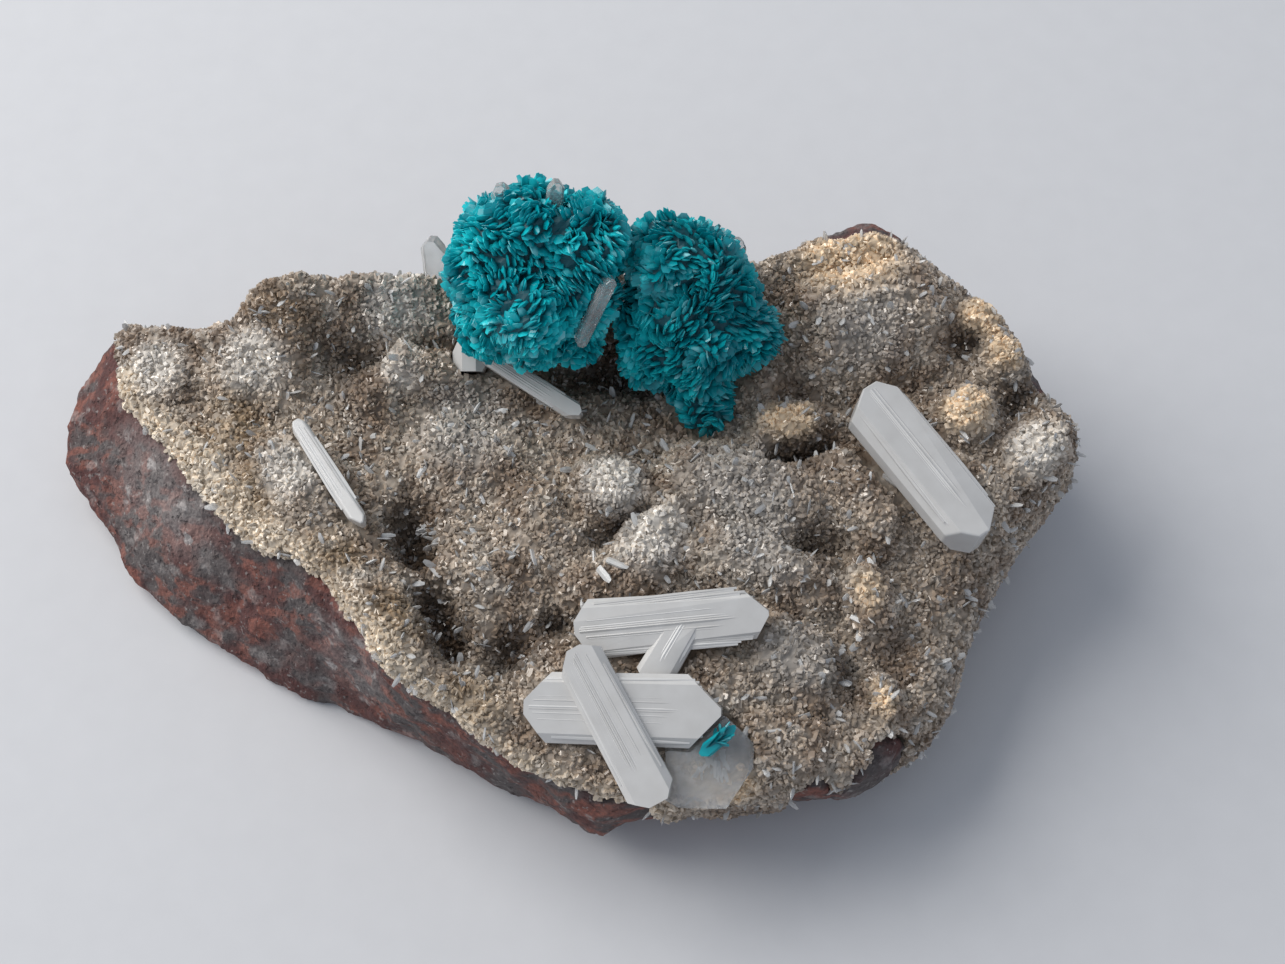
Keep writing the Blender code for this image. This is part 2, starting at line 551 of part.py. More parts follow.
def crystal_place(form):
    """Return the matrix that lays a blade between its two tips."""
    near, far = (Vector(tip) * MM for tip in form["tips"])
    along = (far - near).normalized()
    up = Vector(form["facing"])
    up = (up - along * up.dot(along)).normalized()
    across = up.cross(along)
    turn = Matrix((along, across, up)).transposed().to_4x4()
    return Matrix.Translation((near + far) / 2) @ turn


def add_crystal(name, collection, finish=None, grow=0.0):
    """Add a crystal, or a cutter of its shape that is larger all round."""
    form = CRYSTALS[name]
    label = name if finish else name + "_pocket"
    piece = add_piece(label, crystal_shape(form, grow), collection, finish)
    piece.matrix_world = crystal_place(form)
    return piece


def lobe_radius(direction, lobes):
    """Return how far the lobes of a rosette reach from its middle in a direction."""
    best = 0.0
    for x, y, z, radius in lobes:
        along = direction.dot((x, y, z))
        under = radius ** 2 - x * x - y * y - z * z + along ** 2
        if under > 0.0:
            best = max(best, along + math.sqrt(under))
    return best


def rosette_shape(middle, lobes):
    """Shape a rosette: lobes of radiating blades whose tips step in and out."""
    shape = bmesh.new()
    bmesh.ops.create_icosphere(shape, subdivisions=5, radius=1.0)
    for corner in shape.verts:
        direction = corner.co.normalized()
        step = noise.noise(direction * 5.0 + Vector(middle)) * SERRATION
        corner.co = (Vector(middle) + direction * (lobe_radius(direction, lobes) + step)) * MM
    return shape


def add_rosette(name, middle, lobes, pieces, cutters):
    """Add a rosette and the cutter that makes room for it."""
    rosette = add_piece(name, rosette_shape(middle, lobes), pieces, "cavansite")
    reduce(rosette, ROSETTE_TRIANGLES)
    room = add_piece(name + "_pocket", bmesh.new(), cutters)
    room.data = rosette.data.copy()
    swell(room, CONTACT_GAP)
    return rosette, room


def window_shape(window, grow):
    """Shape the rough ball of basalt that breaks through at a window."""
    middle = Vector(window[:3])
    shape = bmesh.new()
    bmesh.ops.create_icosphere(shape, subdivisions=2, radius=1.0)
    for corner in shape.verts:
        direction = corner.co.normalized()
        radius = window[3] * (1.0 + WINDOW_STEP * noise.noise(direction * 2.0 + middle)) + grow
        stretch = Vector((1.0, 1.0, window[4] / window[3]))
        corner.co = (middle + direction * radius * stretch) * MM
    return shape


def add_rock(pieces, cutters):
    """Add the basalt and the druse, divided from one lump."""
    lump = Lump()
    druse = add_piece("heulandite_druse", lump.surface(False), pieces, "druse")
    reduce(druse, LUMP_TRIANGLES)
    level_foot(druse)
    basalt = add_piece("basalt_matrix", bmesh.new(), pieces, "basalt")
    basalt.data = druse.data.copy()
    basalt.data.materials[0] = material("basalt")
    divider = add_piece("divider", lump.surface(True), cutters)
    reduce(divider, DIVIDER_TRIANGLES)
    combine(druse, divider, "DIFFERENCE")
    swell(divider, -CONTACT_GAP)
    rock = add_piece("rock", bmesh.new(), cutters)
    rock.data = basalt.data.copy()
    combine(basalt, divider, "INTERSECT")
    for window in WINDOWS:
        combine(druse, add_piece("window", window_shape(window, 0.0), cutters), "DIFFERENCE")
        plug = add_piece("plug", window_shape(window, -CONTACT_GAP), cutters)
        combine(plug, rock, "INTERSECT")
        combine(basalt, plug, "UNION")
    return basalt, druse


def add_joined(name, members, pieces, cutters):
    """Add crystals that grew into one another as one piece."""
    joined = add_crystal(members[0], pieces, "stilbite")
    for member in members[1:]:
        combine(joined, add_crystal(member, cutters), "UNION")
    joined.name = name
    return joined


def main():
    """Build the specimen."""
    clear_scene()
    pieces = new_collection("cavansite_specimen")
    cutters = new_collection("cutters")
    basalt, druse = add_rock(pieces, cutters)
    built = {}
    for name, members in JOINED.items():
        built[name] = add_joined(name, members, pieces, cutters)
    for name, finish in SINGLE.items():
        built[name] = add_crystal(name, pieces, finish)
    pockets = {name: add_crystal(name, cutters, grow=CONTACT_GAP) for name in CRYSTALS}
    for name, (middle, lobes) in ROSETTES.items():
        built[name], pockets[name] = add_rosette(name, middle, lobes, pieces, cutters)
    for name, makers in MAKES_ROOM_FOR.items():
        for maker in makers:
            combine(built[name], pockets[maker], "DIFFERENCE")
    for pocket in pockets.values():
        combine(druse, pocket, "DIFFERENCE")
        combine(basalt, pocket, "DIFFERENCE")


if __name__ == "__main__":
    main()
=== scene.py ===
# %% [markdown]
# A cavansite specimen: blue rosettes and white stilbite blades stand on a crust of tiny
# heulandite crystals, and the crust sits on a wedge of maroon basalt. The solids come from the
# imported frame. This lesson gives each of them a natural surface, then plants the thousands of
# crystals that are too small to be solids. Places are in millimetres, as in the part's source.

# %% Load the frame
import math

import bpy
import numpy as np
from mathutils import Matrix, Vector
from mathutils.bvhtree import BVHTree


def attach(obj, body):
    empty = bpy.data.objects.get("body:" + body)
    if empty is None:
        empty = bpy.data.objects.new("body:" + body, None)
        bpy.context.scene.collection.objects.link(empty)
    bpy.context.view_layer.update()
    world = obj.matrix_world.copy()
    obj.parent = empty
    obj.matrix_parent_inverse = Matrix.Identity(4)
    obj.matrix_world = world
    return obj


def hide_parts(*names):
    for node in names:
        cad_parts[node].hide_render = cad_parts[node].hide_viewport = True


MM = 0.001
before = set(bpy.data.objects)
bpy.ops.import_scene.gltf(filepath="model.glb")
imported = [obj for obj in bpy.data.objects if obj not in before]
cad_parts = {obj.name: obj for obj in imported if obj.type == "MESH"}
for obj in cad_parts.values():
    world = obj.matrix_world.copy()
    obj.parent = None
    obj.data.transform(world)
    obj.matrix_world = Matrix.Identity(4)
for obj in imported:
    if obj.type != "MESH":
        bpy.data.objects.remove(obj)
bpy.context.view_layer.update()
bpy.ops.object.select_all(action="DESELECT")


# %% [markdown]
# Every step below works as by hand: one object is made active, changed in edit mode or with a
# modifier, and the modifier is applied. Four small helpers keep that short. A CAD node is never
# changed itself: its mesh is copied first, and the copy's loose triangles are merged.

# %% Work on one piece at a time
def pick(piece):
    """Make one piece the only selected and the active one."""
    bpy.ops.object.select_all(action="DESELECT")
    piece.select_set(True)
    bpy.context.view_layer.objects.active = piece


def modify(piece, kind, **settings):
    """Add a modifier with its settings and apply it."""
    pick(piece)
    modifier = piece.modifiers.new(kind.title(), kind)
    for key, value in settings.items():
        setattr(modifier, key, value)
    bpy.ops.object.modifier_apply(modifier=modifier.name)


def copy_of(node, name):
    """Copy a CAD node's mesh into a new piece and merge its loose triangles."""
    piece = bpy.data.objects.new(name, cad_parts[node].data.copy())
    bpy.context.scene.collection.objects.link(piece)
    pick(piece)
    bpy.ops.object.mode_set(mode="EDIT")
    bpy.ops.mesh.select_all(action="SELECT")
    bpy.ops.mesh.remove_doubles(threshold=1e-6)
    bpy.ops.object.mode_set(mode="OBJECT")
    piece.data.materials.clear()
    return piece


def keep(piece, material, slot, *nodes):
    """Give a finished piece its material and its body, and hide the nodes that it stands for."""
    piece.data.materials.clear()
    piece.data.materials.append(material)
    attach(piece, "root")
    if nodes:
        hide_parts(*nodes)
    print(piece.name, len(piece.data.polygons), "faces")


# %% [markdown]
# Shader maths reads best as sums, so a small class wraps a socket and adds Math nodes for plus,
# minus and times. Any other node comes from one method of the maker. Patterns read Object
# coordinates, which are the specimen's own, so they stay in place from every side.

# %% Wrap the shader nodes
class Number:
    """A socket that carries a number, with sums written as in Python."""

    def __init__(self, maker, socket):
        self.maker = maker
        self.socket = socket

    def sum(self, operation, first, second):
        """Add one Math node and wrap what it gives."""
        made = self.maker.node("ShaderNodeMath", {"operation": operation}, {0: first, 1: second})
        return Number(self.maker, made.outputs[0])

    def __add__(self, other):
        return self.sum("ADD", self, other)

    def __radd__(self, other):
        return self.sum("ADD", other, self)

    def __sub__(self, other):
        return self.sum("SUBTRACT", self, other)

    def __rsub__(self, other):
        return self.sum("SUBTRACT", other, self)

    def __mul__(self, other):
        return self.sum("MULTIPLY", self, other)

    def __rmul__(self, other):
        return self.sum("MULTIPLY", other, self)

    def above(self, low, high):
        """Rise smoothly from 0 at low to 1 at high."""
        made = self.maker.node(
            "ShaderNodeMapRange",
            {"interpolation_type": "SMOOTHSTEP"},
            {"Value": self, "From Min": low, "From Max": high},
        )
        return Number(self.maker, made.outputs[0])


class Maker:
    """Builds one material on the Principled shader."""

    def __init__(self, name, **constants):
        self.material = bpy.data.materials.new(name)
        self.material.use_nodes = True
        self.tree = self.material.node_tree
        self.shader = self.tree.nodes["Principled BSDF"]
        for key, value in constants.items():
            self.shader.inputs[key.replace("_", " ")].default_value = value
        self.place = self.node("ShaderNodeTexCoord", {}, {}).outputs["Object"]

    def node(self, kind, settings, inputs):
        """Add a node: its settings are set first, then the values or links of its sockets."""
        made = self.tree.nodes.new(kind)
        for key, value in settings.items():
            setattr(made, key, value)
        for key, value in inputs.items():
            value = value.socket if isinstance(value, Number) else value
            if isinstance(value, bpy.types.NodeSocket):
                self.tree.links.new(value, made.inputs[key])
            else:
                made.inputs[key].default_value = value
        return made

    def noise(self, size, detail=3.0, stretch=(1, 1, 1), turn=(0, 0, 0)):
        """A cloudy pattern whose blotches have a size in millimetres."""
        scale = [value / (size * MM) for value in stretch]
        spot = self.node(
            "ShaderNodeMapping", {}, {"Vector": self.place, "Scale": scale, "Rotation": turn}
        )
        made = self.node(
            "ShaderNodeTexNoise", {}, {"Vector": spot.outputs[0], "Scale": 1.0, "Detail": detail}
        )
        return Number(self, made.outputs["Fac"])

    def carried(self, name):
        """A number that the mesh carries."""
        made = self.node("ShaderNodeAttribute", {"attribute_name": name}, {})
        return Number(self, made.outputs["Fac"])

    def near(self, x, y, z, reach):
        """1 in a ball around a place in millimetres, down to 0 at its reach."""
        made = self.node(
            "ShaderNodeVectorMath",
            {"operation": "DISTANCE"},
            {0: self.place, 1: (x * MM, y * MM, z * MM)},
        )
        full = reach * MM * 0.35
        return 1 - Number(self, made.outputs["Value"]).above(full, reach * MM)

    def blend(self, factor, first, second, mode="MIX"):
        """Mix two colours, of which either may be a socket."""
        made = self.node(
            "ShaderNodeMix",
            {"data_type": "RGBA", "blend_type": mode, "clamp_factor": True},
            {"Factor": factor, 6: first, 7: second},
        )
        return made.outputs[2]

    def bump(self, height, depth):
        """Roughen the shading by a height, over a depth in millimetres."""
        made = self.node(
            "ShaderNodeBump", {}, {"Height": height, "Strength": 1.0, "Distance": depth * MM}
        )
        self.link("Normal", made.outputs[0])

    def link(self, name, value):
        """Link a number or a colour to one of the shader's own sockets."""
        value = value.socket if isinstance(value, Number) else value
        self.tree.links.new(value, self.shader.inputs[name])


# %% [markdown]
# The basalt is a dense, fine-grained lava, maroon with grey-green patches, salmon streaks and
# chalky patches near the crust. A picture could be wrapped on it, but it would stretch on the
# sides. Noise at several sizes has no seams, so its colours are mixed from that. Only the three
# chalky places on the left wall are given one by one.

# %% Basalt finish
basalt = Maker("basalt_maroon", Roughness=0.9)
grain = basalt.noise(0.35, 4.0)
patch = basalt.noise(5.0, 4.0)
streak = basalt.noise(1.6, 4.0, (0.35, 1.3, 1.0), (0.3, 0.0, 0.75))
colour = basalt.blend(patch.above(0.42, 0.58), (0.125, 0.050, 0.044, 1), (0.120, 0.104, 0.100, 1))
salmon = streak.above(0.47, 0.60) * basalt.noise(9.0).above(0.38, 0.52)
colour = basalt.blend(salmon * 0.75, colour, (0.300, 0.110, 0.078, 1))
chalk = basalt.noise(2.4, 5.0).above(0.56, 0.66)
chalk_zone = basalt.near(-37, 5, 11, 8) + basalt.near(-33, 0, 11, 5) + basalt.near(-18, -13, 9, 6)
chalk_share = (chalk * 0.35) + (chalk_zone * (chalk * 0.6 + 0.25))
colour = basalt.blend(chalk_share, colour, (0.46, 0.42, 0.40, 1))
fleck = basalt.noise(0.55, 2.0).above(0.62, 0.70)
colour = basalt.blend(fleck * 0.6, colour, (0.38, 0.35, 0.33, 1))
pit = basalt.noise(0.8, 3.0).above(0.60, 0.72)
colour = basalt.blend(pit * 0.55, colour, (0.030, 0.018, 0.018, 1))
colour = basalt.blend(grain.above(0.3, 0.7) * 0.45, colour, (0.05, 0.035, 0.035, 1))
basalt.link("Base Color", colour)
basalt.bump(grain + basalt.noise(1.3, 4.0) * 1.5 - pit * 0.8, 0.16)
print("basalt nodes", len(basalt.tree.nodes))

# %% [markdown]
# The rock itself starts as a copy of its solid. A voxel remesh gives it an even skin, smoothing
# rounds the facets, and three cloud textures push the skin into broken lumps and grains. Sculpting
# by hand could do this too, but clouds give the same result on every run. Its foot is pressed
# flat because the specimen rests on it.

# %% Rough rock
def clouds(name, size, depth=3):
    """A cloud texture whose lumps have a size in millimetres."""
    texture = bpy.data.textures.new(name, "CLOUDS")
    texture.noise_scale = size * MM
    texture.noise_depth = depth
    return texture


def weather(piece, voxel, rounds, lumps, swell):
    """Remesh a copy of a solid and rough it up with clouds, given as pairs of size and height."""
    modify(piece, "REMESH", mode="VOXEL", voxel_size=voxel * MM)
    modify(piece, "SMOOTH", iterations=rounds, factor=0.5)
    modify(piece, "DISPLACE", strength=swell * MM, mid_level=0.0)
    for size, height in lumps:
        texture = clouds(piece.name + str(size), size)
        modify(piece, "DISPLACE", texture=texture, strength=height * MM, mid_level=0.5)


def corners_of(piece):
    """The places of a piece's corners, one row each."""
    flat = np.empty(len(piece.data.vertices) * 3)
    piece.data.vertices.foreach_get("co", flat)
    return flat.reshape(-1, 3)


def flatten_foot(piece, level):
    """Press what lies near the ground flat onto it."""
    spots = corners_of(piece)
    spots[:, 2] = np.where(spots[:, 2] < level * MM, 0.0, spots[:, 2])
    piece.data.vertices.foreach_set("co", spots.ravel())
    piece.data.update()


rock = copy_of("basalt_matrix", "basalt_rock")
weather(rock, voxel=0.45, rounds=4, lumps=((6.0, 1.0), (1.8, 0.7), (0.6, 0.25)), swell=0.12)
flatten_foot(rock, level=0.35)
keep(rock, basalt.material, "basalt", "basalt_matrix")

# %% [markdown]
# The crust is heulandite: glassy grains of half a millimetre, tan in the open, grey where they are
# clearest and cream where the crust has grown into nodules. In the hollows they are darkened to a
# deep brown, which is painted shade. The crust and the grains planted on it share one recipe and
# differ only in gloss, so their colours run on from one to the other. Colour zones are soft balls,
# because real zones have no sharp edge.

# %% Crust finish
# Places of one colour, as x, y, z and reach in millimetres
CREAM = (
    (26.6, -9.4, 19.6, 3.6), (27.6, -18.0, 16.6, 3.0), (35.6, 6.7, 22.0, 4.2),
    (20.2, 6.6, 19.8, 3.8), (37.8, 16.2, 21.4, 3.4), (39.5, 12.7, 21.2, 3.2),
    (26.0, 21.8, 22.6, 6.5), (14.0, -25.0, 13.2, 4.0),
)
WHITE = (
    (8.4, -4.0, 18.4, 5.0), (5.0, 1.0, 18.6, 4.2), (-27.0, 13.4, 17.6, 4.4),
    (-13.5, 12.4, 18.0, 3.0), (-36.2, 13.8, 15.6, 4.0), (-15.0, 18.2, 19.4, 4.0),
    (41.6, 3.8, 18.8, 3.6), (-31.0, 2.0, 15.4, 3.0), (-22.8, 2.4, 17.2, 4.0),
)
GREY = (
    (16.0, 1.0, 18.4, 6.5), (18.0, -5.4, 18.2, 5.4), (20.6, -14.6, 17.6, 5.4),
    (-14.0, 18.0, 19.6, 5.0), (27.0, 15.8, 20.0, 6.0), (-8.0, 7.0, 16.0, 6.0),
)
GOLD = (
    (-19.2, -6.4, 16.4, 4.4), (-13.6, -12.0, 16.6, 4.6), (-7.0, -18.8, 14.6, 4.6),
    (-29.0, 7.4, 16.2, 5.0), (-26.0, 1.4, 15.4, 4.0), (-24.0, 18.2, 19.0, 5.0),
)


def zones(maker, places):
    """The sum of the soft balls at some places."""
    total = 0.0
    for place in places:
        total = maker.near(*place) + total
    return total


def crust_finish(name, roughness):
    """The recipe of colours for crust and grains, laid one over the other."""
    maker = Maker(name, Roughness=roughness, IOR=1.5)
    tint = maker.carried("tint")
    colour = maker.blend(
        maker.noise(4.5, 4.0).above(0.38, 0.62), (0.280, 0.215, 0.165, 1), (0.470, 0.405, 0.340, 1)
    )
    clear = maker.noise(2.2, 3.0)
    colour = maker.blend(zones(maker, GREY) * 0.85, colour, (0.480, 0.450, 0.420, 1))
    colour = maker.blend(zones(maker, GOLD) * 0.5, colour, (0.360, 0.260, 0.150, 1))
    colour = maker.blend(clear.above(0.54, 0.68) * 0.5, colour, (0.520, 0.490, 0.450, 1))
    colour = maker.blend(zones(maker, CREAM) * 0.9, colour, (0.800, 0.640, 0.460, 1))
    colour = maker.blend(zones(maker, WHITE) * 0.85, colour, (0.760, 0.730, 0.690, 1))
    colour = maker.blend(maker.carried("rim") * 0.75, colour, (0.740, 0.650, 0.530, 1))
    # Painted shade: the hollows darken the crust and its grains to a near-black brown.
    colour = maker.blend(maker.carried("hollow_shade") * 0.85, colour, (0.050, 0.030, 0.018, 1))
    shade = maker.blend(tint, (0.55, 0.53, 0.50, 1), (1.55, 1.50, 1.42, 1))
    maker.link("Base Color", maker.blend(1.0, colour, shade, "MULTIPLY"))
    maker.link("Roughness", tint.above(0.2, 0.9) * -0.30 + roughness)
    return maker


crust_skin = crust_finish("heulandite_crust", 0.55)
grain_skin = crust_finish("heulandite_grains", 0.40)
grain_skin.shader.inputs["Specular IOR Level"].default_value = 0.75
print("crust nodes", len(crust_skin.tree.nodes))

# %% [markdown]
# The crust is made like the rock, with smaller lumps. Three numbers are stored on its corners: a
# random tint, how much painted shade the corner gets near the middle of a hollow, and how near it
# is to the pale edge. Stored numbers travel with the mesh, so the grains can carry the same ones.

# %% Drusy crust
SEED = 7
RANDOM = np.random.default_rng(SEED)

# Twelve of the hollows in the crust's solid, where painted shade darkens the crust, as x, y, z and
# reach in millimetres
HOLLOWS = (
    (-12.4, -2.9, 12.5, 4.2), (-9.4, -10.9, 12.5, 4.4), (21.7, 4.2, 15.0, 3.4),
    (0.4, -11.0, 14.0, 2.6), (6.0, -2.2, 15.2, 2.4), (4.8, 13.4, 15.0, 5.5),
    (-18.5, 13.8, 15.8, 3.2), (22.8, -4.5, 16.4, 2.6), (24.7, -14.8, 15.2, 2.4),
    (36.6, 14.5, 18.6, 1.8), (40.5, 9.0, 17.4, 2.4), (-3.6, -13.6, 14.0, 3.0),
)
# The pale edge of the crust above the left wall, in plan
EDGE = (
    (-39.5, 13.0), (-38.8, 10.1), (-32.4, 5.0), (-25.8, -2.2), (-19.2, -9.2),
    (-13.0, -15.6), (-6.9, -21.6), (2.0, -26.0), (10.0, -27.5),
)


def rim_at(spots):
    """How close a place is to the pale edge in plan: 1 on it, 0 from 2.4 mm away."""
    plan = spots[:, :2] / MM
    away = np.full(len(spots), 99.0)
    for start, end in zip(EDGE, EDGE[1:]):
        start = np.array(start)
        run = np.array(end) - start
        share = np.clip((plan - start) @ run / (run @ run), 0, 1)
        away = np.minimum(away, np.linalg.norm(plan - start - share[:, None] * run, axis=1))
    return np.clip(1.6 - away / 1.5, 0, 1)


def carry(piece, name, values):
    """Store a number on every corner of a piece."""
    attribute = piece.data.attributes.new(name, "FLOAT", "POINT")
    attribute.data.foreach_set("value", values.astype(np.float32))


def hollow_shade_at(spots):
    """How much painted shade a place gets: 1 in the middle of a hollow, 0 in the open."""
    dark = np.zeros(len(spots))
    for x, y, z, reach in HOLLOWS:
        away = np.linalg.norm((spots / MM - (x, y, z)) * (1, 1, 0.8), axis=1)
        dark = np.maximum(dark, np.clip(1.25 - away / reach, 0, 1))
    return dark


crust = copy_of("heulandite_druse", "heulandite_crust")
weather(crust, voxel=0.42, rounds=3, lumps=((3.2, 0.9), (1.1, 0.6)), swell=0.14)
flatten_foot(crust, level=0.0)
crust_spots = corners_of(crust)
carry(crust, "tint", RANDOM.random(len(crust_spots)) * 0.6)
carry(crust, "hollow_shade", hollow_shade_at(crust_spots))
carry(crust, "rim", rim_at(crust_spots))
keep(crust, crust_skin.material, "druse", "heulandite_druse")

# %% [markdown]
# A small crystal is modelled once: a prism whose end is drawn out to a chisel, one unit long.
# Tens of thousands of separate objects would be slow, and a scatter of instances would be lost in
# the export. So the copies are written straight into one joined mesh, each turned and sized on
# its own. Every corner also carries its crystal's tint, and how far up the crystal it is.

# %% One crystal, many copies
SHAFT = 0.72
TIP = 0.28


def small_crystal(sides, chisel, turn=0.0):
    """Model a prism with a chisel end and return its corners and triangles."""
    bpy.ops.object.select_all(action="DESELECT")
    bpy.ops.mesh.primitive_cylinder_add(
        vertices=sides, radius=0.5, depth=SHAFT, location=(0, 0, SHAFT / 2), rotation=(0, 0, turn)
    )
    piece = bpy.context.object
    bpy.ops.object.transform_apply(location=True, rotation=True)
    bpy.ops.object.mode_set(mode="EDIT")
    bpy.ops.mesh.select_mode(type="FACE")
    bpy.ops.mesh.select_all(action="DESELECT")
    bpy.ops.object.mode_set(mode="OBJECT")
    for face in piece.data.polygons:
        face.select = face.normal.z > 0.9
    bpy.ops.object.mode_set(mode="EDIT")
    bpy.ops.mesh.extrude_region_move(TRANSFORM_OT_translate={"value": (0, 0, TIP)})
    bpy.ops.transform.resize(value=(chisel[0], chisel[1], 1), center_override=(0, 0, 1))
    bpy.ops.mesh.select_all(action="SELECT")
    bpy.ops.mesh.quads_convert_to_tris()
    bpy.ops.object.mode_set(mode="OBJECT")
    corners = corners_of(piece)
    # The operator's order of triangles differs from run to run, so each starts at its lowest
    # corner and all are sorted
    rows = []
    for face in piece.data.polygons:
        row = tuple(face.vertices)
        first = row.index(min(row))
        rows.append(row[first:] + row[:first])
    triangles = np.array(sorted(rows))
    bpy.data.objects.remove(piece)
    return corners, triangles


def unit(vectors):
    """Scale every row to a length of 1."""
    return vectors / np.maximum(np.linalg.norm(vectors, axis=1), 1e-12)[:, None]


def plant(name, shape, roots, ups, sizes, sides=None, hollow_shade=None):
    """Join copies of a crystal that stand at roots along ups, sized across, through and along."""
    corners, triangles = shape
    count = len(roots)
    ups = unit(ups)
    if sides is None:
        sides = RANDOM.normal(size=(count, 3))
    sides = unit(sides - ups * np.sum(sides * ups, axis=1)[:, None])
    fronts = np.cross(ups, sides)
    spots = roots[:, None, :] + sum(
        axis[:, None, :] * (corners[None, :, part] * sizes[:, part:part + 1])[:, :, None]
        for part, axis in enumerate((sides, fronts, ups))
    )
    faces = triangles[None] + (np.arange(count) * len(corners))[:, None, None]
    mesh = bpy.data.meshes.new(name)
    mesh.from_pydata(spots.reshape(-1, 3), [], faces.reshape(-1, 3))
    piece = bpy.data.objects.new(name, mesh)
    bpy.context.scene.collection.objects.link(piece)
    carry(piece, "tint", np.repeat(RANDOM.random(count), len(corners)))
    carry(piece, "rise", np.tile(corners[:, 2], count))
    if hollow_shade is not None:
        carry(piece, "hollow_shade", np.repeat(hollow_shade, len(corners)))
        carry(piece, "rim", np.repeat(rim_at(roots), len(corners)))
    return piece


def ground(piece, count):
    """Pick places on a piece evenly by area, with the way its skin faces there."""
    mesh = piece.data
    mesh.calc_loop_triangles()
    triples = np.empty(len(mesh.loop_triangles) * 3, int)
    mesh.loop_triangles.foreach_get("vertices", triples)
    triples = triples.reshape(-1, 3)
    spots = corners_of(piece)
    facing = np.empty(len(mesh.vertices) * 3)
    mesh.vertices.foreach_get("normal", facing)
    facing = facing.reshape(-1, 3)
    first, second, third = (spots[triples[:, part]] for part in range(3))
    area = np.linalg.norm(np.cross(second - first, third - first), axis=1)
    chosen = RANDOM.choice(len(triples), count, p=area / area.sum())
    shares = RANDOM.dirichlet((1, 1, 1), count)
    places = sum(shares[:, part:part + 1] * spots[triples[chosen, part]] for part in range(3))
    ways = sum(shares[:, part:part + 1] * facing[triples[chosen, part]] for part in range(3))
    return places, unit(ways)


def solid_tree(*nodes):
    """A search tree over CAD nodes, to find what lies close in a direction."""
    spots = []
    faces = []
    for node in nodes:
        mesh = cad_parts[node].data
        start = len(spots)
        spots.extend(corner.co for corner in mesh.vertices)
        faces.extend([start + index for index in face.vertices] for face in mesh.polygons)
    return BVHTree.FromPolygons(spots, faces)


def in_the_open(places, ways, tree, room):
    """Which places have no other solid within some room in front of them."""
    reach = room * MM
    start = 0.02 * MM
    return np.array([
        tree.ray_cast(Vector(place) + Vector(way) * start, Vector(way), reach)[0] is None
        for place, way in zip(places, ways)
    ])


GRAIN = small_crystal(4, (0.85, 0.45), math.pi / 4)
LATH = small_crystal(6, (0.55, 0.10))
print("grain", len(GRAIN[1]), "triangles, lath", len(LATH[1]), "triangles")

# %% [markdown]
# The grains are planted on the open skin of the crust: not where the basalt or a large crystal
# lies close in front of it. They stand askew, sunk by 45 per cent of their length, so that they
# grow out of the crust. They are split over several pieces to keep each one small.

# %% Plant the grains
others = solid_tree(*(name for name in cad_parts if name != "heulandite_druse"))
PLACES_TRIED = 74000
GRAINS = 36000
GRAINS_PER_PIECE = 9000
GLASSY_BLADES = 1300
ROOM = 1.4
LOWEST = 0.8
places, ways = ground(crust, PLACES_TRIED)
free = in_the_open(places, ways, others, ROOM) & (places[:, 2] > LOWEST * MM)
places, ways = places[free], ways[free]
print("open places", len(places))
for number, start in enumerate(range(0, GRAINS, GRAINS_PER_PIECE)):
    part = slice(start, start + GRAINS_PER_PIECE)
    some, up = places[part], ways[part]
    lean = unit(up + RANDOM.normal(size=up.shape) * 0.55)
    size = RANDOM.uniform((0.40, 0.26, 0.38), (0.82, 0.56, 0.80), (len(some), 3)) * MM
    piece = plant(
        f"heulandite_grains_{number + 1}", GRAIN, some - lean * size[:, 2:] * 0.45, lean, size,
        hollow_shade=hollow_shade_at(some),
    )
    keep(piece, grain_skin.material, "druse")

# %% [markdown]
# Among the grains stand larger, clearer blades that flash white. They take the next places after
# the grains and a glassier finish. A few larger chips are easy to tell apart in the photograph, so
# they are set one by one: a ray is dropped on the crust at each place, and a chip lies there.

# %% Glassy blades in the crust
glass = Maker("glassy_white", Roughness=0.12, IOR=1.5, Transmission_Weight=0.35)
glass.shader.inputs["Base Color"].default_value = (0.80, 0.79, 0.77, 1)
glass.link("Roughness", glass.carried("tint") * 0.25 + 0.06)
glassy = slice(GRAINS, GRAINS + GLASSY_BLADES)
some, up = places[glassy], ways[glassy]
lean = unit(up + RANDOM.normal(size=up.shape) * 0.9)
size = RANDOM.uniform((0.3, 0.12, 0.8), (0.7, 0.30, 1.7), (len(some), 3)) * MM
# Larger chips at places read off the photograph, as x, y and how far each points right and back.
# The ways are approximate.
CHIPS = (
    (-1.2, -17.8, 2.0, 1.6), (16.8, -8.9, 1.0, 1.4), (3.4, 5.2, 1.4, -1.4), (19.3, 3.0, 0.8, -1.6),
    (5.4, -6.7, 1.5, -0.9), (4.2, -7.6, 0.6, -1.0), (29.1, 0.7, 1.5, -1.4), (25.9, -11.3, 1.3, -1.0),
)
crust_tree = solid_tree("heulandite_druse")
ABOVE_ALL = 0.1
chip_roots = []
for x, y, right, back in CHIPS:
    hit = crust_tree.ray_cast(Vector((x * MM, y * MM, ABOVE_ALL)), Vector((0, 0, -1)))[0]
    chip_roots.append(hit + Vector((-right, -back, 0.4)) * MM * 0.5)
chip_ways = np.array([(right, back, 0.5) for x, y, right, back in CHIPS])
chip_size = np.tile((0.75, 0.35, 2.1), (len(CHIPS), 1)) * MM
chips = plant("glassy_chips", LATH, np.array(chip_roots), chip_ways, chip_size)
keep(chips, glass.material, "clear_crystal")
blades = plant("glassy_blades", LATH, some - lean * size[:, 2:] * 0.25, lean, size)
keep(blades, glass.material, "clear_crystal")
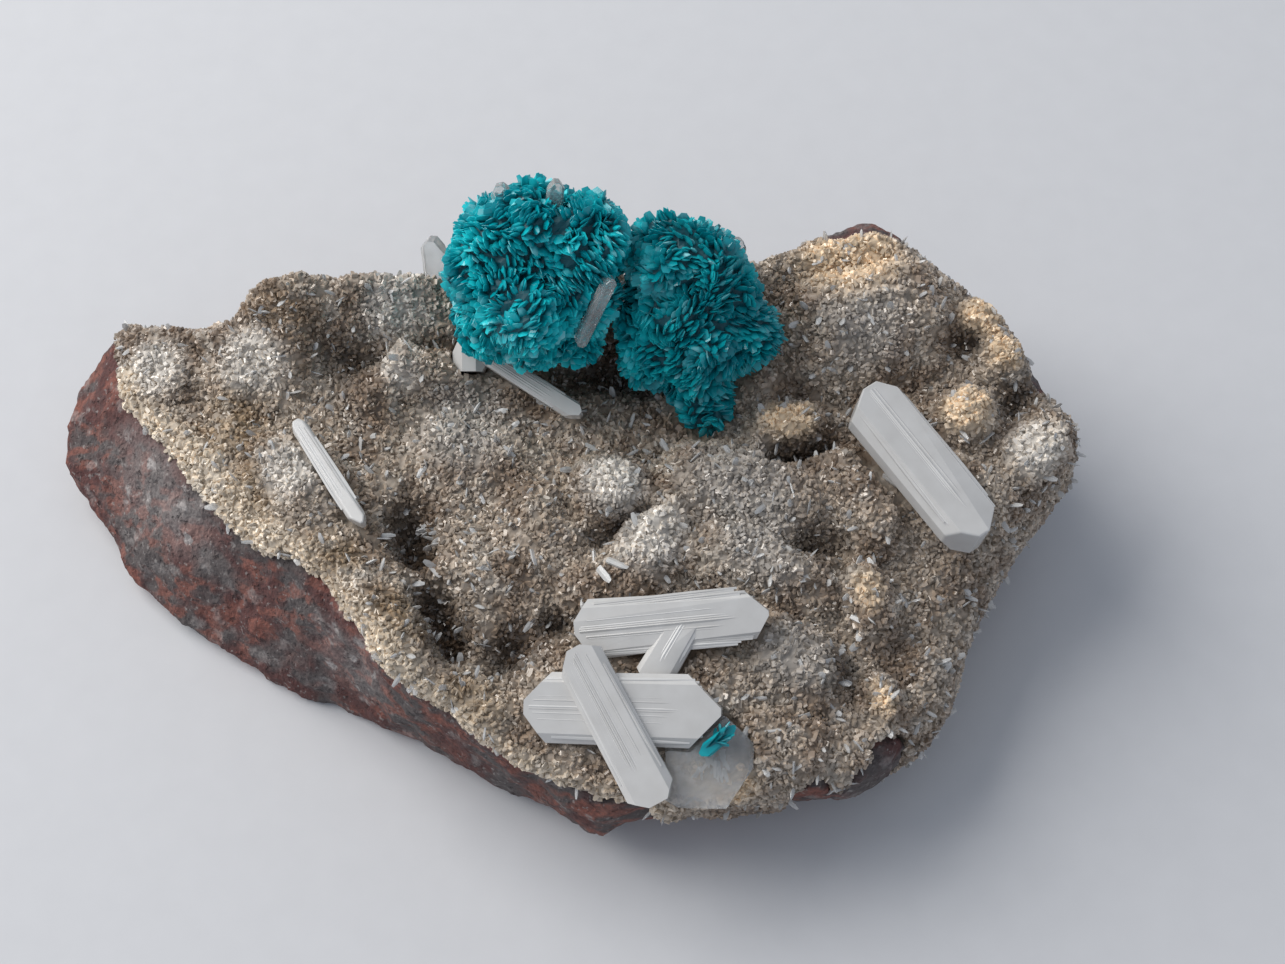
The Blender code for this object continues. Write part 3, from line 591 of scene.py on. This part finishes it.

# %% [markdown]
# Cavansite is a strong blue-green. Its colour is darkened to almost black towards the roots of the
# blades, which is painted shade between them, and lightened at the thin tips, with a painted sheen
# and a few painted glints there. The right rosette is darkened with painted shade, as it lies in
# the left one's shadow. The blades carry how far up a corner is, so the tips can be lightened, and
# the height is read from the mesh and not from the camera.

# %% Cavansite finish
RIGHT_FROM = 6.5
RIGHT_FULL = 9.5
blue = Maker("cavansite_blue", Roughness=0.25, IOR=1.54)
tint = blue.carried("tint")
tip = blue.carried("rise")
# Painted shade: each blade darkens to almost black towards its root, where the blades crowd
# together.
depth = blue.blend(tip.above(0.35, 1.0), (0.000, 0.070, 0.095, 1), (0.000, 0.380, 0.440, 1))
# Painted sheen: pale cyan blotches brighten the blades towards their tips.
painted_sheen = blue.noise(2.6, 3.0).above(0.40, 0.62)
bright = blue.blend(painted_sheen * tip, depth, (0.020, 0.680, 0.730, 1))
# Painted shade: the blue darkens from x = 6.5 mm rightwards, for the shadow that the left rosette
# casts on the right one.
right_rosette_shade = blue.node("ShaderNodeSeparateXYZ", {}, {0: blue.place}).outputs[0]
right_rosette_shade = Number(blue, right_rosette_shade).above(RIGHT_FROM * MM, RIGHT_FULL * MM)
bright = blue.blend(right_rosette_shade * 0.45, bright, (0.000, 0.170, 0.210, 1))
# Painted glints: a few blade tips are lightened towards white.
painted_glint = tint.above(0.88, 0.95) * tip.above(0.6, 0.9) * painted_sheen
blue.link("Base Color", blue.blend(painted_glint * 0.55, bright, (0.45, 0.80, 0.84, 1)))
blue.link("Roughness", tint * 0.30 + 0.12)
# Painted shade: the rosette core is a near-black blue, for the shade deep between the blades.
core_shade = Maker("cavansite_core_shade", Roughness=0.5)
core_shade.link("Base Color", core_shade.blend(
    core_shade.noise(1.2), (0.000, 0.030, 0.045, 1), (0.000, 0.120, 0.150, 1)
))

print("cavansite nodes", len(blue.tree.nodes))

# %% [markdown]
# A real rosette is made of blades that radiate from a point, in sheaves of slightly different
# direction. Here a core is copied from the solid and coloured near-black as painted shade deep
# between the blades, and thousands of blades are planted on it along the way that its skin faces.
# A slow wave bends them, so that neighbours lean alike.

# %% Rosettes
def rosette(node, count):
    """Make a core, dark with painted shade, from a node and plant a number of blades on it."""
    core = copy_of(node, node + "_core")
    weather(core, voxel=0.5, rounds=6, lumps=((3.4, 2.6), (1.6, 1.2)), swell=-0.45)
    places, ways = ground(core, count)
    wave = places / MM / 1.5
    sheaf = np.stack([
        np.sin(wave[:, 1] + 1.3 * np.cos(wave[:, 2])),
        np.cos(wave[:, 2] + 1.1 * np.sin(wave[:, 0])),
        np.sin(wave[:, 0] + 1.7 * np.cos(wave[:, 1])),
    ], axis=1)
    up = unit(ways + sheaf * 0.40 + RANDOM.normal(size=ways.shape) * 0.07)
    size = RANDOM.uniform((0.60, 0.22, 1.4), (1.30, 0.50, 2.6), (count, 3)) * MM
    sides = sheaf[:, [1, 2, 0]] + RANDOM.normal(size=ways.shape) * 0.25
    blades = plant(node + "_blades", LATH, places - up * size[:, 2:] * 0.62, up, size, sides)
    keep(core, core_shade.material, "cavansite", node)
    keep(blades, blue.material, "cavansite")


rosette("cavansite_rosette_left", 3600)
rosette("cavansite_rosette_right", 3000)

# %% [markdown]
# Stilbite grows as sheaves of thin laths, so a blade is never one clean prism: it has fine lines
# along it and stepped ends. Lines could be a bump, but a bump has no outline. So each blade is the
# bevelled solid with real laths laid along its broad upper face. The clear crystals have no laths.

# %% Stilbite finish
silk = Maker("stilbite_silk", Roughness=0.3, IOR=1.5, Transmission_Weight=0.15)
tint = silk.carried("tint")
milk = silk.blend(silk.noise(2.0), (0.58, 0.56, 0.53, 1), (0.80, 0.785, 0.76, 1))
silk.link("Base Color", silk.blend(tint * 0.6, milk, (0.90, 0.89, 0.87, 1)))
silk.link("Roughness", tint * 0.25 + 0.15)
clear = Maker("clear_stilbite", Roughness=0.08, IOR=1.5, Transmission_Weight=0.75)
clear.link("Base Color", clear.blend(
    clear.noise(1.6, 4.0).above(0.45, 0.62), (0.96, 0.96, 0.95, 1), (0.82, 0.81, 0.79, 1)
))

print("stilbite nodes", len(silk.tree.nodes) + len(clear.tree.nodes))

# %% [markdown]
# Each blade's tips and facing are those of its solid. The laths start and end further in towards
# the blade's sides, which follows its pointed outline, and each ends at its own random length.

# %% Stilbite blades and clear crystals
# Near tip, far tip, way of the broad face, width for the laths, thickness and number of laths
BLADES = {
    "upper": ((2.0, -12.6, 16.7), (18.1, -11.8, 18.6), (-0.10, -0.45, 0.90), 5.2, 1.9, 26),
    "lower": ((-2.1, -18.9, 15.5), (14.1, -19.9, 16.8), (-0.05, -0.40, 0.90), 5.8, 2.0, 28),
    "crossing": ((2.0, -15.0, 18.6), (8.8, -27.0, 14.5), (-0.20, -0.20, 0.95), 4.0, 1.8, 22),
    "wedge": ((12.2, -10.8, 18.4), (8.3, -17.0, 16.3), (-0.15, -0.35, 0.93), 2.8, 1.4, 12),
    "block": ((26.8, 8.2, 20.2), (36.3, -5.0, 18.4), (0.10, 0.00, 1.00), 5.4, 3.6, 26),
    "needle_left": ((-22.7, 7.0, 17.5), (-16.3, -3.1, 17.4), (0.0, -0.2, 1.0), 1.5, 1.2, 8),
    "needle_centre": ((-7.4, 14.0, 18.5), (2.2, 7.5, 17.8), (0.0, -0.3, 1.0), 1.5, 1.2, 8),
}


HALF_COVER = 0.40
NEAR_SLOPE = 4.0
FAR_SLOPE = 4.4


def lay_laths(label):
    """Lay laths along the broad face of a blade, side by side, with stepped ends."""
    near, far, facing, width, thickness, count = BLADES[label]
    near, far = np.array(near), np.array(far)
    along = (far - near) / np.linalg.norm(far - near)
    up = np.array(facing) - along * np.dot(facing, along)
    up = up / np.linalg.norm(up)
    across = np.cross(up, along)
    length = np.linalg.norm(far - near)
    spread = np.linspace(-HALF_COVER, HALF_COVER, count)
    start = np.abs(spread) * NEAR_SLOPE * RANDOM.uniform(0.6, 1.4, count) + 0.4
    run = length - start - np.abs(spread) * FAR_SLOPE * RANDOM.uniform(0.6, 1.4, count) - 0.5
    rise = thickness / 2 - 0.10 - np.abs(spread) * thickness * 0.22
    roots = near + start[:, None] * along + (spread * width)[:, None] * across
    roots = (roots + rise[:, None] * up) * MM
    size = np.stack([
        np.full(count, width / count * 2.0), RANDOM.uniform(0.20, 0.42, count), run,
    ], axis=1) * MM
    ways = along + across * (spread * 0.05)[:, None]
    return plant("laths_" + label, LATH, roots, ways, size, np.tile(across, (count, 1)))


def join(name, pieces):
    """Join pieces into the first one and name it."""
    pick(pieces[0])
    for piece in pieces:
        piece.select_set(True)
    bpy.ops.object.join()
    pieces[0].name = name
    return pieces[0]


def stilbite(node, labels, finish, slot):
    """Bevel a copy of a solid, lay the laths of its blades and keep it."""
    body = copy_of(node, node + "_crystal")
    modify(body, "BEVEL", width=0.14 * MM, segments=2, limit_method="ANGLE", angle_limit=0.5)
    carry(body, "tint", np.full(len(body.data.vertices), 0.35))
    piece = join(body.name, [body] + [lay_laths(label) for label in labels])
    keep(piece, finish.material, slot, node)


stilbite("stilbite_cluster", ("upper", "lower", "crossing", "wedge"), silk, "stilbite")
stilbite("stilbite_block", ("block",), silk, "stilbite")
stilbite("stilbite_needle_left", ("needle_left",), silk, "stilbite")
stilbite("stilbite_needle_centre", ("needle_centre",), silk, "stilbite")
for node in (
    "stilbite_plate", "stilbite_rod", "clear_crystal_back", "clear_crystal_top_left",
    "clear_crystal_top", "clear_crystal_right",
):
    stilbite(node, (), clear, "clear_crystal")

# %% [markdown]
# The clear plate holds whitish fibres. They grew inside it, so they are thin laths placed within
# its thickness, from its middle towards its front edge. Paint on its face would look flat.

# %% Fibres sealed in the plate
FIBRES = 30
PLATE_MIDDLE = np.array((13.2, -23.15, 14.45))
along = np.array((-0.025, -0.941, -0.339))
across = np.array((1.0, 0.0, 0.0))
up = np.array((0.0, -0.339, 0.941))
spots = PLATE_MIDDLE + RANDOM.uniform(-1.0, 0.9, (FIBRES, 1)) * along
spots = spots + RANDOM.uniform(-1.1, 1.3, (FIBRES, 1)) * across
spots = spots + RANDOM.uniform(-0.3, 0.3, (FIBRES, 1)) * up
fibre_ways = along + RANDOM.normal(size=(FIBRES, 1)) * 0.4 * across
size = RANDOM.uniform((0.15, 0.04, 0.7), (0.40, 0.08, 1.4), (FIBRES, 3)) * MM
fibres = plant(
    "stilbite_plate_fibres", LATH, spots * MM, fibre_ways, size, np.tile(across, (FIBRES, 1))
)
keep(fibres, silk.material, "stilbite")

# %% [markdown]
# A small blue tuft sits at the plate. It is too small for a skin of its own, so its solid stays
# as it is, and a fan of small blades spreads from its root.

# %% Cavansite fleck
FLECK_BLADES = 26
fleck = copy_of("cavansite_fleck", "cavansite_fleck_core")
carry(fleck, "tint", np.full(len(fleck.data.vertices), 0.3))
carry(fleck, "rise", np.full(len(fleck.data.vertices), 0.9))
root = np.array((12.6, -23.0, 16.2)) * MM
way = np.array((2.9, 2.1, 0.9))
fan = RANDOM.normal(size=(FLECK_BLADES, 3)) * 0.35 + way / np.linalg.norm(way)
spots = root + RANDOM.uniform(0, 1, (FLECK_BLADES, 1)) * way * 0.5 * MM
size = RANDOM.uniform((0.25, 0.12, 0.9), (0.5, 0.25, 1.9), (FLECK_BLADES, 3)) * MM
fleck = join("cavansite_fleck_blades", [fleck, plant("fleck_laths", LATH, spots, fan, size)])
keep(fleck, blue.material, "cavansite", "cavansite_fleck")

# %% [markdown]
# The stage is a plain pale floor, one wide soft lamp high on the left that stands in for a window,
# and a dim bluish sky that fills the shadows. The camera looks down at 62 degrees, as the
# photograph does, and its view is shown without any film look. These places are in metres.

# %% Floor, light and camera
bpy.ops.object.select_all(action="DESELECT")
bpy.ops.mesh.primitive_plane_add(size=3.0)
floor = bpy.context.object
floor.name = "floor"
paper = Maker("pale_floor", Roughness=0.9)
paper_colour = paper.blend(paper.noise(3.0), (0.66, 0.66, 0.67, 1), (0.70, 0.70, 0.71, 1))
paper.link("Base Color", paper_colour)
floor.data.materials.append(paper.material)

window = bpy.data.lights.new("window", "AREA")
window.energy = 4.2
window.size = 0.55
window.color = (1.0, 0.98, 0.95)
lamp = bpy.data.objects.new("window", window)
bpy.context.scene.collection.objects.link(lamp)
lamp.location = (-0.42, 0.22, 0.42)
lamp.rotation_euler = (-lamp.location).to_track_quat("-Z", "Y").to_euler()
world = bpy.data.worlds.new("sky")
world.use_nodes = True
world.node_tree.nodes["Background"].inputs["Color"].default_value = (0.78, 0.86, 1.0, 1)
world.node_tree.nodes["Background"].inputs["Strength"].default_value = 0.42
bpy.context.scene.world = world

TARGET = Vector((0.0076, 0.004, 0.012))
DISTANCE = 0.191
ELEVATION = 62
camera = bpy.data.objects.new("camera", bpy.data.cameras.new("camera"))
bpy.context.scene.collection.objects.link(camera)
camera.data.lens = 60.0
camera.data.sensor_width = 36.0
tilt = math.radians(ELEVATION)
camera.location = TARGET + DISTANCE * Vector((0, -math.cos(tilt), math.sin(tilt)))
camera.rotation_euler = (TARGET - camera.location).to_track_quat("-Z", "Y").to_euler()
bpy.context.scene.camera = camera
bpy.context.scene.view_settings.view_transform = "Standard"

print("lamp at", tuple(lamp.location), "camera at", tuple(camera.location))
